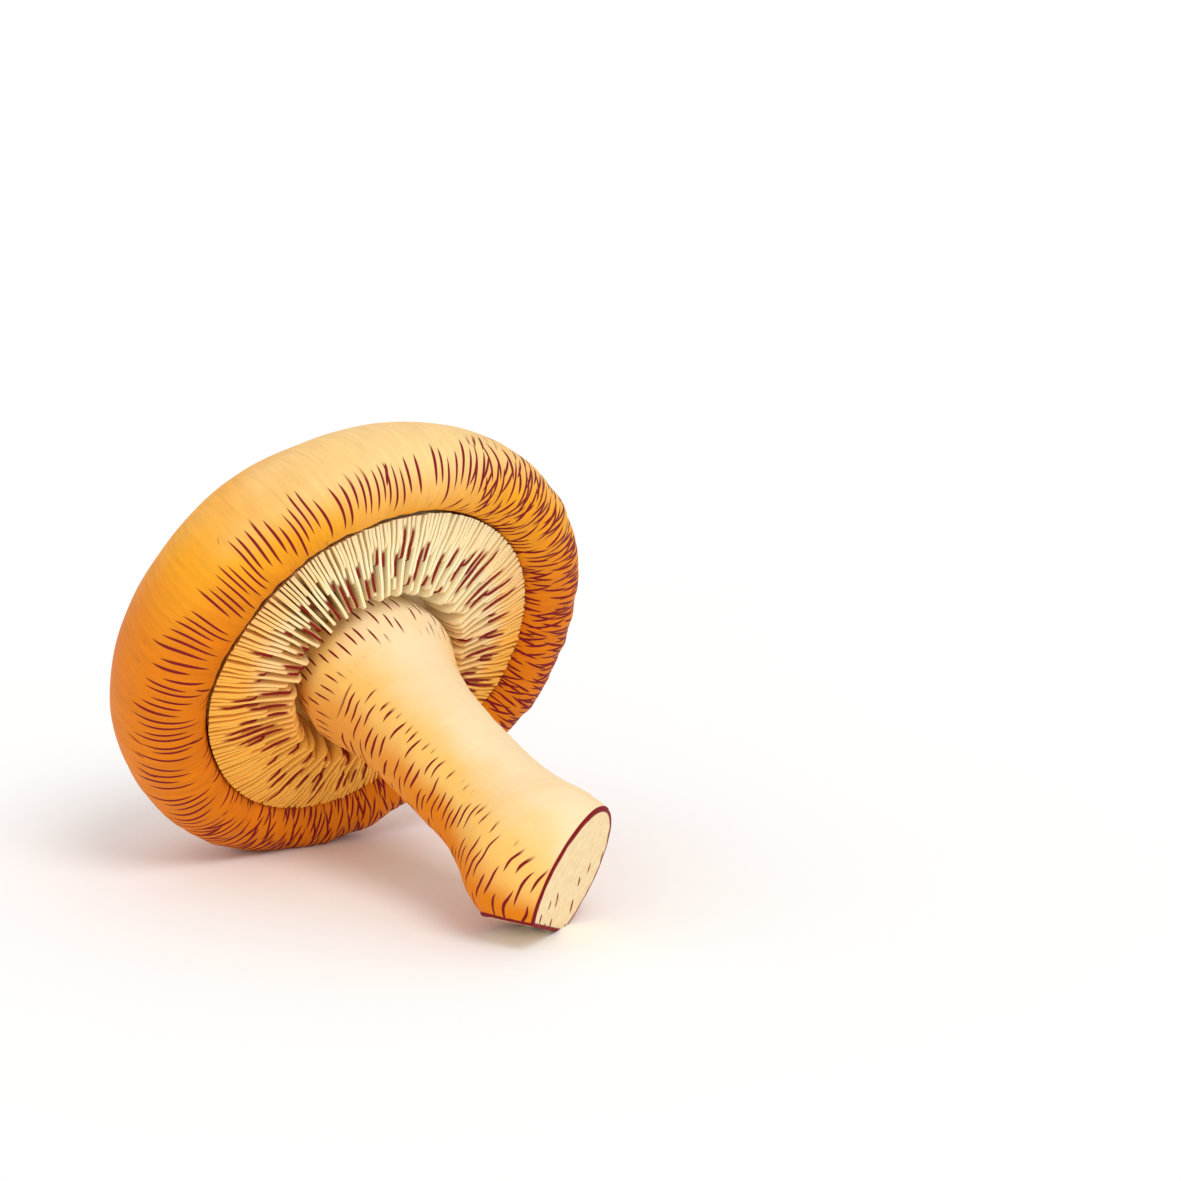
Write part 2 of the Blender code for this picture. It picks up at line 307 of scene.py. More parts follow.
def apply_modifier(obj, kind, **settings):
    """Give an object a modifier and apply it."""
    only(obj)
    modifier = obj.modifiers.new(kind.lower(), kind)
    for name, value in settings.items():
        setattr(modifier, name, value)
    bpy.ops.object.modifier_apply(modifier=modifier.name)


def turned(name, profile, steps):
    """Extrude a vertex along a half section, and spin it about the axis into a closed form."""
    bpy.ops.object.select_all(action="DESELECT")
    bpy.ops.mesh.primitive_plane_add(size=MM, location=(profile[0][0], 0.0, profile[0][1]))
    obj = bpy.context.object
    obj.name = name
    bpy.ops.object.transform_apply(location=True, rotation=True, scale=True)
    bpy.ops.object.mode_set(mode="EDIT")
    bpy.ops.mesh.select_all(action="SELECT")
    bpy.ops.mesh.merge(type="CENTER")
    for (radius, height), (next_radius, next_height) in zip(profile, profile[1:]):
        step = (next_radius - radius, 0.0, next_height - height)
        bpy.ops.mesh.extrude_vertices_move(TRANSFORM_OT_translate={"value": step})
    bpy.ops.mesh.select_all(action="SELECT")
    bpy.ops.mesh.spin(steps=steps, angle=TURN, center=(0.0, 0.0, 0.0), axis=(0.0, 0.0, 1.0))
    bpy.ops.mesh.select_all(action="SELECT")
    bpy.ops.mesh.remove_doubles(threshold=0.001 * MM)
    bpy.ops.mesh.normals_make_consistent(inside=False)
    bpy.ops.object.mode_set(mode="OBJECT")
    return obj


def store(mesh, name, values):
    """Keep one number for each vertex of a mesh, for its material to read."""
    attribute = mesh.attributes.new(name, "FLOAT", "POINT")
    attribute.data.foreach_set("value", values)


def finish_piece(obj, node, finish, smooth_angle):
    """Lay a piece down, flat where it meets the floor, and let it stand for its node of the frame."""
    only(obj)
    obj.matrix_world = LYING
    bpy.ops.object.transform_apply(location=True, rotation=True, scale=True)
    for vertex in obj.data.vertices:
        vertex.co.z = max(vertex.co.z, 0.0)
    bpy.ops.object.shade_smooth_by_angle(angle=smooth_angle)
    obj.data.materials.clear()
    obj.data.materials.append(finish)
    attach(obj, "root")
    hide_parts(node)


def add_node(tree, kind, inputs=None, **settings):
    """Add a node with its settings, and give its inputs their values or links."""
    node = tree.nodes.new(kind)
    for name, value in settings.items():
        setattr(node, name, value)
    for name, value in (inputs or {}).items():
        if isinstance(value, bpy.types.NodeSocket):
            tree.links.new(value, node.inputs[name])
        else:
            node.inputs[name].default_value = value
    return node


def new_material(name):
    """An empty material, its node tree and its surface shader."""
    material = bpy.data.materials.new(name)
    material.use_nodes = True
    return material, material.node_tree, material.node_tree.nodes["Principled BSDF"]


def math_node(tree, operation, *values):
    """Add a node that reckons with one, two or three values, and give its result."""
    return add_node(tree, "ShaderNodeMath", dict(enumerate(values)), operation=operation).outputs["Value"]


def vector_node(tree, operation, *values):
    """Add a node that reckons with one, two or three vectors, and give the one that results."""
    inputs = dict(enumerate(values))
    return add_node(tree, "ShaderNodeVectorMath", inputs, operation=operation).outputs["Vector"]


def reach_towards(tree, vector, direction):
    """How far a vector reaches in a direction."""
    inputs = {0: vector, 1: direction}
    return add_node(tree, "ShaderNodeVectorMath", inputs, operation="DOT_PRODUCT").outputs["Value"]


def upright_point(tree):
    """The point in millimetres, as it was before the mushroom was laid down."""
    return add_node(tree, "ShaderNodeMapping", {
        "Vector": add_node(tree, "ShaderNodeTexCoord").outputs["Object"],
        "Location": AXIS_PLACE,
        "Rotation": AXIS_TURN,
        "Scale": (MM, MM, MM),
    }, vector_type="TEXTURE").outputs["Vector"]


def off_axis(tree, point):
    """A point's place as seen along the axis."""
    return vector_node(tree, "MULTIPLY", point, (1.0, 1.0, 0.0))


def round_axis(tree, point):
    """A point's direction away from the axis, and its angle round it."""
    away = vector_node(tree, "NORMALIZE", off_axis(tree, point))
    parts = add_node(tree, "ShaderNodeSeparateXYZ", {0: away})
    return away, math_node(tree, "ARCTAN2", parts.outputs["Y"], parts.outputs["X"])


def stored(tree, name):
    """The number that a mesh keeps under a name for each of its vertices."""
    return add_node(tree, "ShaderNodeAttribute", attribute_name=name).outputs["Fac"]


def cloud(tree, point, scale, detail=2.0, roughness=0.5):
    """Soft noise between 0 and 1; one over its scale is the width of a patch in millimetres."""
    return add_node(tree, "ShaderNodeTexNoise", {
        "Vector": point, "Scale": scale, "Detail": detail, "Roughness": roughness,
    }).outputs["Fac"]


def share_between(tree, value, low, high):
    """A smooth rise from 0 where a value is low to 1 where it is high."""
    return add_node(tree, "ShaderNodeMapRange", {
        "Value": value, "From Min": low, "From Max": high,
    }, interpolation_type="SMOOTHSTEP").outputs["Result"]


def blend(tree, share, first, second):
    """A colour between two, as given by a share."""
    first, second = (
        one if isinstance(one, bpy.types.NodeSocket) else (*one, 1.0) for one in (first, second)
    )
    return add_node(tree, "ShaderNodeMix", {0: share, 6: first, 7: second}, data_type="RGBA").outputs[2]


def add_relief(tree, shader, height):
    """Let a pattern stand out from a surface by up to 0.2 mm."""
    bump = add_node(tree, "ShaderNodeBump", {"Height": height, "Strength": 0.5, "Distance": 0.2 * MM})
    tree.links.new(bump.outputs["Normal"], shader.inputs["Normal"])


def strokes(tree, across, along, cells, shape, share):
    """Short tapering strokes, one to a cell, in columns that start at chance heights.

    across and along count the cells. cells says after how many of them, each way, the pattern
    meets itself, and how far one column may start above the next. shape is a stroke's half width,
    longest half length, lean and bend, in cells. share is how many cells have their stroke.
    """
    half_width, half_length, lean, bend = shape
    column = math_node(tree, "WRAP", math_node(tree, "FLOOR", across), cells[0], 0.0)
    start = add_node(tree, "ShaderNodeTexWhiteNoise", {"W": column}, noise_dimensions="1D")
    height = math_node(tree, "MULTIPLY_ADD", start.outputs["Value"], cells[2], along)
    row = math_node(tree, "WRAP", math_node(tree, "FLOOR", height), cells[1], 0.0)
    cell = add_node(tree, "ShaderNodeCombineXYZ", {"X": column, "Y": row}).outputs["Vector"]
    draws = add_node(tree, "ShaderNodeTexWhiteNoise", {"Vector": cell}, noise_dimensions="2D")
    draw = add_node(tree, "ShaderNodeSeparateColor", {0: draws.outputs["Color"]})
    up = math_node(tree, "SUBTRACT", math_node(tree, "FRACT", height), 0.5)
    side = math_node(tree, "SUBTRACT", math_node(tree, "FRACT", across), STROKE_PLACE)
    side = math_node(tree, "MULTIPLY_ADD", draw.outputs["Blue"], STROKE_DRAW, side)
    squared = math_node(tree, "MULTIPLY", up, up)
    leaning = math_node(tree, "MULTIPLY_ADD", up, lean, side)
    off_line = math_node(tree, "ABSOLUTE", math_node(tree, "MULTIPLY_ADD", squared, bend, leaning))
    shortness = add_node(tree, "ShaderNodeMapRange", {
        "Value": draw.outputs["Green"],
        "To Min": 1.0 / half_length**2,
        "To Max": 3.0 / half_length**2,
    }).outputs["Result"]
    taper = math_node(tree, "POWER", math_node(tree, "MULTIPLY", squared, shortness), STROKE_TAPER)
    reach = math_node(tree, "MULTIPLY_ADD", off_line, 1.0 / half_width, taper)
    chosen = math_node(tree, "LESS_THAN", draw.outputs["Red"], share)
    return math_node(tree, "MULTIPLY", share_between(tree, reach, *STROKE_EDGE), chosen)


class CapSettings(PropertyGroup):
    """Sizes and colours of the cap."""

    radius: FloatProperty(
        name="Radius", description="Radius of the cap at its widest", default=CAP_RADIUS, unit="LENGTH"
    )
    dome_height: FloatProperty(
        name="Dome Height",
        description="Height of the dome above the widest circle",
        default=DOME_HEIGHT,
        unit="LENGTH",
    )
    swell: FloatProperty(
        name="Swell", description="Height of the dome's soft swellings", default=0.4 * MM, unit="LENGTH"
    )
    pucker: FloatProperty(
        name="Pucker", description="Height of the lip's radial puckers", default=0.25 * MM, unit="LENGTH"
    )
    # Painted light and shade: the light skin is the upper side's colour with painted light on it, the deep
    # skin the lower side's with painted shade
    skin_painted_light: FloatVectorProperty(
        name="Light Skin",
        description="Skin on the dry upper side",
        default=colour("#F2CB88"),
        subtype="COLOR",
    )
    skin_middle: FloatVectorProperty(
        name="Middle Skin",
        description="Skin between the two sides",
        default=colour("#F2A41E"),
        subtype="COLOR",
    )
    skin_painted_shade: FloatVectorProperty(
        name="Deep Skin",
        description="Skin on the moist lower side",
        default=colour("#E07C08"),
        subtype="COLOR",
    )
    crown: FloatVectorProperty(
        name="Crown", description="Scales on the crown", default=colour("#B85408"), subtype="COLOR"
    )
    # This dark colour also paints shade: the line where the lip meets the gills, and the crowded and crossed
    # strokes on one side
    fibres_and_painted_shade: FloatVectorProperty(
        name="Fibres", description="Dark fibres of the lip", default=colour("#80121A"), subtype="COLOR"
    )


class GillSettings(PropertyGroup):
    """Sizes and colours of the gills."""

    thickness: FloatProperty(
        name="Thickness", description="Thickness of a gill at its root", default=0.46 * MM, unit="LENGTH"
    )
    wave: FloatProperty(
        name="Wave", description="How far a gill waves to its sides", default=0.22 * MM, unit="LENGTH"
    )
    edge_draw: FloatProperty(
        name="Edge Draw",
        description="How much higher or lower one free edge may be than the next",
        default=0.3 * MM,
        unit="LENGTH",
    )
    # Painted light and shade: the light edge is the upper side's colour with painted light on it, the deep
    # edge the lower side's with painted shade; the deep edge also colours the outer ring
    edge_painted_light: FloatVectorProperty(
        name="Light Edge",
        description="Free edge of a gill on the pale side",
        default=colour("#FFF0C4"),
        subtype="COLOR",
    )
    edge_painted_shade_and_ring: FloatVectorProperty(
        name="Deep Edge",
        description="Free edge of a gill on the deep side",
        default=colour("#FFBE50"),
        subtype="COLOR",
    )
    # Painted shade: the flesh deep between the gills takes this deeper orange, which stands for the shade in
    # the gaps
    root: FloatVectorProperty(
        name="Root", description="Flesh between the gills", default=colour("#FAC078"), subtype="COLOR"
    )
    # Painted shade: dark stretches on free edges that stand for the shade in the gaps between gills
    painted_shade_dash: FloatVectorProperty(
        name="Stains", description="Browned free edges", default=colour("#84160F"), subtype="COLOR"
    )


class StemSettings(PropertyGroup):
    """Sizes and colours of the stem."""

    cut_distance: FloatProperty(
        name="Cut Distance",
        description="Distance along the axis from the gill edge to the knife cut",
        default=CUT_DISTANCE,
        unit="LENGTH",
    )
    cut_slant: FloatProperty(
        name="Cut Slant", description="Slant of the knife cut", default=CUT_SLANT, subtype="ANGLE"
    )
    flute: FloatProperty(
        name="Flutes", description="Height of the flutes along the stem", default=0.3 * MM, unit="LENGTH"
    )
    scale: FloatProperty(
        name="Scales", description="Height of the small scales across it", default=0.1 * MM, unit="LENGTH"
    )
    # Painted light and shade: the light flesh is the stem's upper side with painted light on it, the deep
    # flesh its lower side with painted shade; the deep flesh also marks the grain of the cut
    flesh_painted_light: FloatVectorProperty(
        name="Light Flesh",
        description="Skin of the stem on its upper side",
        default=colour("#F6DBAE"),
        subtype="COLOR",
    )
    flesh_middle: FloatVectorProperty(
        name="Middle Flesh",
        description="Skin of the stem between the two sides",
        default=colour("#F7C268"),
        subtype="COLOR",
    )
    flesh_painted_shade_and_cut_grain: FloatVectorProperty(
        name="Deep Flesh",
        description="Skin of the stem on its lower side",
        default=colour("#E6820A"),
        subtype="COLOR",
    )
    fleck: FloatVectorProperty(
        name="Flecks", description="Dark flecks across the stem", default=colour("#80121A"), subtype="COLOR"
    )
    cut_flesh: FloatVectorProperty(
        name="Cut Flesh", description="Flesh where the knife went", default=colour("#FAE2B2"), subtype="COLOR"
    )


class StageSettings(PropertyGroup):
    """The floor, the light and the view."""

    floor: FloatVectorProperty(
        name="Floor", description="Colour of the floor", default=colour("#FBFBFA"), subtype="COLOR"
    )
    surround: FloatProperty(
        name="Surround", description="Brightness of the light from all sides", default=0.8, min=0.0
    )
    key_strength: FloatProperty(
        name="Key Strength", description="Strength of the soft main light", default=1.0, min=0.0
    )
    fill_strength: FloatProperty(
        name="Fill Strength", description="Strength of the faint light in front", default=0.5, min=0.0
    )
    softness: FloatProperty(
        name="Softness",
        description="Width of each light as the mushroom sees it",
        default=math.radians(28.0),
        subtype="ANGLE",
    )
    azimuth: FloatProperty(
        name="Azimuth",
        description="How far the camera has gone round to the right",
        default=math.radians(52.606),
        subtype="ANGLE",
    )
    elevation: FloatProperty(
        name="Elevation",
        description="Angle of the camera above the level",
        default=math.radians(13.279),
        subtype="ANGLE",
    )
    lens: FloatProperty(name="Lens", description="Focal length", default=180.0, unit="CAMERA")


def cap_profile(settings):
    """Half section of the cap: over the dome, round the lip and across the bed to its middle."""
    dome_steps = 22
    lip_steps = 14
    points = []
    for step in range(dome_steps + 1):
        around = 0.5 * math.pi * step / dome_steps
        height = RIM_HEIGHT + settings.dome_height * math.cos(around)
        points.append((settings.radius * math.sin(around), height))
    for step in range(1, lip_steps + 1):
        around = LIP_TURN * step / lip_steps
        lip_radius = settings.radius - 0.5 * LIP_WIDTH * (1.0 - math.cos(around))
        points.append((lip_radius, RIM_HEIGHT - (RIM_HEIGHT + LIP_DROP) * math.sin(around)))
    points += [(share * BED_RADIUS, bed_floor(share * BED_RADIUS)) for share in BED_RINGS[1:]]
    return points


def past_rim(radius, height, settings):
    """Way along the cap's half section from its widest circle, in millimetres: inwards is positive.

    The middle of the bed, which lies above that circle, counts as the end of the lip.
    """
    if height >= RIM_HEIGHT:
        if radius < BED_RADIUS and height < RIM_HEIGHT + BED_SHARE * settings.dome_height:
            return LIP_MEAN_RADIUS * LIP_TURN
        up = (height - RIM_HEIGHT) / settings.dome_height
        return -DOME_MEAN_RADIUS * math.atan2(up, radius / settings.radius)
    down = (RIM_HEIGHT - height) / (RIM_HEIGHT + LIP_DROP)
    out = (radius - settings.radius) / (0.5 * LIP_WIDTH) + 1.0
    return LIP_MEAN_RADIUS * math.atan2(down, out)


def sculpt_cap(mesh, settings):
    """Raise the dome's soft swellings and the lip's radial puckers, and let the cap grow uneven."""
    normals = [vertex.normal.copy() for vertex in mesh.vertices]
    ways = []
    for vertex, normal in zip(mesh.vertices, normals):
        x, y, z = vertex.co / MM
        radius = max(0.001, math.hypot(x, y))
        way = past_rim(radius * MM, z * MM, settings)
        swell = waves(x / BROAD_SWELLING, y / BROAD_SWELLING, z / BROAD_SWELLING)
        swell += 0.35 * waves(x / SMALL_SWELLING, y / SMALL_SWELLING, z / SMALL_SWELLING)
        lift = settings.swell * swell * (1.0 - smooth_step(3.0, 9.0, way))
        margin = smooth_step(-8.0, 3.0, way) * (1.0 - smooth_step(12.6, 14.0, way))
        ridge = side_waves(x / radius, y / radius, way, BROAD_PUCKERS)
        ridge += 0.6 * side_waves(x / radius, y / radius, way, NARROW_PUCKERS)
        lift += settings.pucker * ridge * margin
        vertex.co = grown(vertex.co + normal * lift)
        ways.append(way)
    store(mesh, "past_rim", ways)


def cap_tone(tree, point, way, toward_painted_shade, crowd, settings):
    """Colour of the cap's skin: painted light on the upper side and painted shade on the lower side, deeper
    on the lip and where the lip's fibres crowd, with flat scales on the crown.
    """
    patches = cloud(tree, point, 1.0 / 14.0, detail=1.0, roughness=0.4)
    # Painted light and shade: the skin pales towards the upper side and deepens towards the lower one
    depth = math_node(tree, "MULTIPLY_ADD", patches, 0.5, toward_painted_shade)
    depth = math_node(tree, "MULTIPLY_ADD", share_between(tree, way, 1.0, 8.0), 0.27, depth)
    depth = math_node(tree, "MULTIPLY_ADD", crowd, 0.12, depth)
    skin = blend(tree, share_between(tree, depth, -0.8, -0.15), settings.skin_painted_light, settings.skin_middle)
    skin = blend(tree, share_between(tree, depth, -0.3, 0.35), skin, settings.skin_painted_shade)
    bent = add_node(tree, "ShaderNodeTexNoise", {"Vector": point, "Scale": 0.5}).outputs["Color"]
    bent = vector_node(tree, "MULTIPLY_ADD", bent, (2.4, 2.4, 2.4), point)
    scales = add_node(tree, "ShaderNodeTexVoronoi", {
        "Vector": bent, "Scale": 1.0 / 2.6,
    }, feature="SMOOTH_F1").outputs["Distance"]
    scaled = math_node(tree, "MULTIPLY_ADD", share_between(tree, scales, 0.75, 0.2), 0.24, 0.26)
    on_crown = share_between(tree, way, -16.0, -40.0)
    return blend(tree, math_node(tree, "MULTIPLY", on_crown, scaled), skin, settings.crown)


def with_hairs(tree, skin, way, away):
    """The skin with its fine combed grain, which fades out on the crown."""
    down_cap = math_node(tree, "MULTIPLY_ADD", way, 1.0 / 10.0, -0.2)
    down_cap = add_node(tree, "ShaderNodeCombineXYZ", {"Z": down_cap}).outputs["Vector"]
    combed = vector_node(tree, "MULTIPLY_ADD", away, (45.0, 45.0, 45.0), down_cap)
    hairs = math_node(tree, "SUBTRACT", cloud(tree, combed, 1.2), 0.5)
    hairs = math_node(tree, "MULTIPLY", hairs, share_between(tree, way, -34.0, -12.0))
    inputs = {0: skin, "Scale": math_node(tree, "MULTIPLY_ADD", hairs, 0.35, 1.0)}
    return add_node(tree, "ShaderNodeVectorMath", inputs, operation="SCALE").outputs["Vector"]


def lip_fibres(tree, point, way, angle, toward_painted_shade, crowd):
    """Share of dark fibres on the cap: strokes round the lip, crowded and crossed on one side as partly
    painted shade, and a line of painted shade where the lip meets the gills.
    """
    warp = cloud(tree, point, 1.0 / 9.0, detail=0.0)
    thinning = share_between(tree, way, -7.0, 1.0)
    columns = 172
    long_strokes = strokes(
        tree,
        math_node(tree, "MULTIPLY_ADD", angle, columns / TURN, math_node(tree, "MULTIPLY", warp, 2.0)),
        math_node(tree, "MULTIPLY_ADD", way, 1.0 / 10.0, -0.2),
        (columns, ENDLESS, 0.35),
        (0.17, 0.46, 0.15, 0.4),
        math_node(tree, "MULTIPLY", thinning, 0.92),
    )
    # Painted shade: the long fibres run on down to the gills only on the lower side and the crowded side
    reach_to_crease_in_shade = math_node(tree, "MAXIMUM", share_between(tree, toward_painted_shade, -0.6, -0.1), crowd)
    near_gills = math_node(tree, "MAXIMUM", share_between(tree, way, 11.5, 10.0), reach_to_crease_in_shade)
    fibres = math_node(tree, "MULTIPLY", long_strokes, near_gills)
    crowd_left = math_node(tree, "MULTIPLY", crowd, thinning)
    columns = 178
    short_strokes = strokes(
        tree,
        math_node(tree, "MULTIPLY_ADD", angle, columns / TURN, math_node(tree, "MULTIPLY", way, 0.3)),
        math_node(tree, "MULTIPLY", way, 1.0 / 5.5),
        (columns, ENDLESS, 1.0),
        (0.2, 0.48, -0.2, 0.4),
        math_node(tree, "MULTIPLY_ADD", crowd_left, 0.86, 0.04),
    )
    fibres = math_node(tree, "MAXIMUM", fibres, short_strokes)
    # Painted shade: cross strokes on the crowded side, laid like hatching
    columns = 150
    cross_strokes = strokes(
        tree,
        math_node(tree, "MULTIPLY_ADD", angle, columns / TURN, math_node(tree, "MULTIPLY", way, -0.2)),
        math_node(tree, "MULTIPLY_ADD", way, 1.0 / 6.5, 0.4),
        (columns, ENDLESS, 1.0),
        (0.17, 0.48, 0.2, 0.3),
        math_node(tree, "MULTIPLY", crowd_left, 0.55),
    )
    fibres = math_node(tree, "MAXIMUM", fibres, cross_strokes)
    past_start = math_node(tree, "MULTIPLY_ADD", warp, 6.0, math_node(tree, "SUBTRACT", way, 3.9))
    past_start = math_node(tree, "MULTIPLY_ADD", crowd, 6.5, past_start)
    fibres = math_node(tree, "MULTIPLY", fibres, share_between(tree, past_start, -1.5, 1.5))
    # Painted shade: a dark line where the lip meets the gills, where shade falls
    painted_crease_shade = share_between(tree, way, 13.4, 13.6)
    return math_node(tree, "MAXIMUM", fibres, painted_crease_shade)


def cap_material(settings):
    """Skin of a fresh shiitake cap: thin, dry and a little waxy, with dark radial fibres on the lip.

    The eye gets a soft satin gloss on the dome, a tone that deepens from the upper side to the
    lower one, which is painted light and shade, and to the crown, where flat scales 2.6 mm wide
    show faintly, and strokes 0.4 mm wide and 5 to 9 mm long, 1.1 mm apart, over the lip, which
    crowd and cross on one side as partly painted shade, with a line of painted shade where the
    lip meets the gills.
    """
    material, tree, shader = new_material("satin_cap_skin_grown")
    point = upright_point(tree)
    away, angle = round_axis(tree, point)
    way = stored(tree, "past_rim")
    toward_painted_shade = reach_towards(tree, point, PAINTED_SHADE_SIDE / CAP_TONE_RADIUS)
    fibre_shade_reach = reach_towards(tree, point, FIBRE_SHADE_SIDE / CAP_TONE_RADIUS)
    # Partly painted shade: where the lip's fibres crowd and cross, and the skin deepens
    crowd = share_between(tree, fibre_shade_reach, -0.35, 0.1)
    skin = with_hairs(tree, cap_tone(tree, point, way, toward_painted_shade, crowd, settings), way, away)
    dark = lip_fibres(tree, point, way, angle, toward_painted_shade, crowd)
    tree.links.new(blend(tree, dark, skin, settings.fibres_and_painted_shade), shader.inputs["Base Color"])
    pores = cloud(tree, point, 1.3, detail=3.0)
    add_relief(tree, shader, math_node(tree, "MULTIPLY_ADD", dark, -0.7, pores))
    shader.inputs["Roughness"].default_value = 0.55
    shader.inputs["IOR"].default_value = 1.4
    shader.inputs["Specular IOR Level"].default_value = 0.2
    shader.inputs["Subsurface Weight"].default_value = 0.08
    shader.inputs["Subsurface Radius"].default_value = (1.0, 0.45, 0.2)
    shader.inputs["Subsurface Scale"].default_value = 0.8 * MM
    return material


class SHIITAKE_OT_cap(Operator):
    """Spin the cap, raise its swellings and puckers, and lay it down"""

    bl_idname = "shiitake.cap"
    bl_label = "Cap"
    bl_options = {"REGISTER", "UNDO"}

    def execute(self, context):
        """Model the cap."""
        settings = context.scene.shiitake_cap
        cap = turned("cap_skin_and_flesh", cap_profile(settings), ROUND_STEPS)
        apply_modifier(cap, "SUBSURF", levels=2, render_levels=2)
        sculpt_cap(cap.data, settings)
        finish_piece(cap, "cap", cap_material(settings), math.radians(60.0))
        return {"FINISHED"}


def gill_strip(name, cells, settings):
    """A flat strip for one gill, one unit long and high, with its real thickness."""
    bpy.ops.object.select_all(action="DESELECT")
    bpy.ops.mesh.primitive_grid_add(x_subdivisions=cells, y_subdivisions=1, size=1.0)
    strip = bpy.context.object
    strip.name = name
    bpy.ops.object.mode_set(mode="EDIT")
    bpy.ops.mesh.select_all(action="SELECT")
    bpy.ops.transform.rotate(value=0.5 * math.pi, orient_axis="X", center_override=(0.0, 0.0, 0.0))
    bpy.ops.transform.translate(value=(0.5, 0.0, 0.5))
    bpy.ops.object.mode_set(mode="OBJECT")
    apply_modifier(strip, "SOLIDIFY", thickness=settings.thickness, offset=0.0)
    return strip


def shape_gill(mesh, start, angle, phase, shade_dash_stretch, settings):
    """Give a strip the outline of a gill, wave it, and turn it to its place round the stem."""
    shade_dash_middle, shade_dash_half_length = shade_dash_stretch
    turn = Matrix.Rotation(angle, 3, "Z")
    drop = settings.edge_draw * waves(phase, 3.0, 9.0)
    depths = []
    browned = []
    for vertex in mesh.vertices:
        along = min(1.0, max(0.0, vertex.co.x)) ** GILL_CELL_CROWDING
        depth = min(1.0, max(0.0, vertex.co.z))
        radius = start + along * (GILL_OUTER_RADIUS - start)
        # Painted shade: how far into the gill's dark stretch this point of its free edge lies
        browned.append(1.0 - min(2.0, abs(radius - shade_dash_middle) / shade_dash_half_length))
        root = bed_floor(radius) - GAP - GILL_FLESH + GILL_ROOT
        edge = gill_edge(radius) + drop
        edge += GILL_EDGE_WAVE * waves(radius / GILL_EDGE_WAVE_LENGTH, phase, 0.0)
        inner_end = max(0.0, 1.0 - (radius - start) / GILL_END_LENGTH)
        edge += GILL_END_RISE * (root - edge) * inner_end**2
        tip = smooth_step(GILL_OUTER_RADIUS - GILL_TIP_REACH_LENGTH, GILL_OUTER_RADIUS, radius)
        radius += GILL_TIP_REACH * tip * (1.0 - depth)
        side = vertex.co.y * (0.85 + 0.15 * depth)
        side += settings.wave * waves(radius / GILL_WAVE_LENGTH, phase, 5.0) * (1.0 - 0.6 * depth)
        vertex.co = grown(turn @ Vector((radius, side, edge + depth * (root - edge))))
        depths.append(depth)
    store(mesh, "gill_depth", depths)
    store(mesh, "browned", browned)


def gill_places():
    """Start radius and angle of each gill: those of the frame, and finer ones between."""
    draw = random.Random(GILL_SEED)
    spacing = TURN / GILL_COUNT
    places = []
    for index in range(GILL_COUNT):
        kind = index % len(GILL_STARTS)
        start = GILL_STARTS[kind]
        if kind:
            start += draw.uniform(*GILL_START_DRAW)
        angle = spacing * (index + draw.uniform(-GILL_ANGLE_DRAW, GILL_ANGLE_DRAW))
        places.append((start, angle))
    for first in range(0, GILL_COUNT, len(GILL_STARTS)):
        for place, start in FINE_GILLS:
            angle = spacing * (first + place + draw.uniform(-GILL_ANGLE_DRAW, GILL_ANGLE_DRAW))
            places.append((start + draw.uniform(*GILL_START_DRAW), angle))
    return places


def shade_dash_stretches(starts):
    """Middle radius and half length of each gill's dark stretch of painted shade; a middle off the gill is
    none.

    Only the finer gills have one, so that two never lie side by side.
    """
    draw = random.Random(SHADE_DASH_SEED)
    stretches = []
    for index, start in enumerate(starts):
        middle = start + draw.random() * (SHADE_DASH_RADIUS - start)
        half_length = draw.uniform(*SHADE_DASH_HALF_LENGTH)
        has_one = index >= GILL_COUNT and draw.random() < SHADE_DASH_SHARE
        stretches.append((middle if has_one else -CAP_RADIUS, half_length))
    return stretches


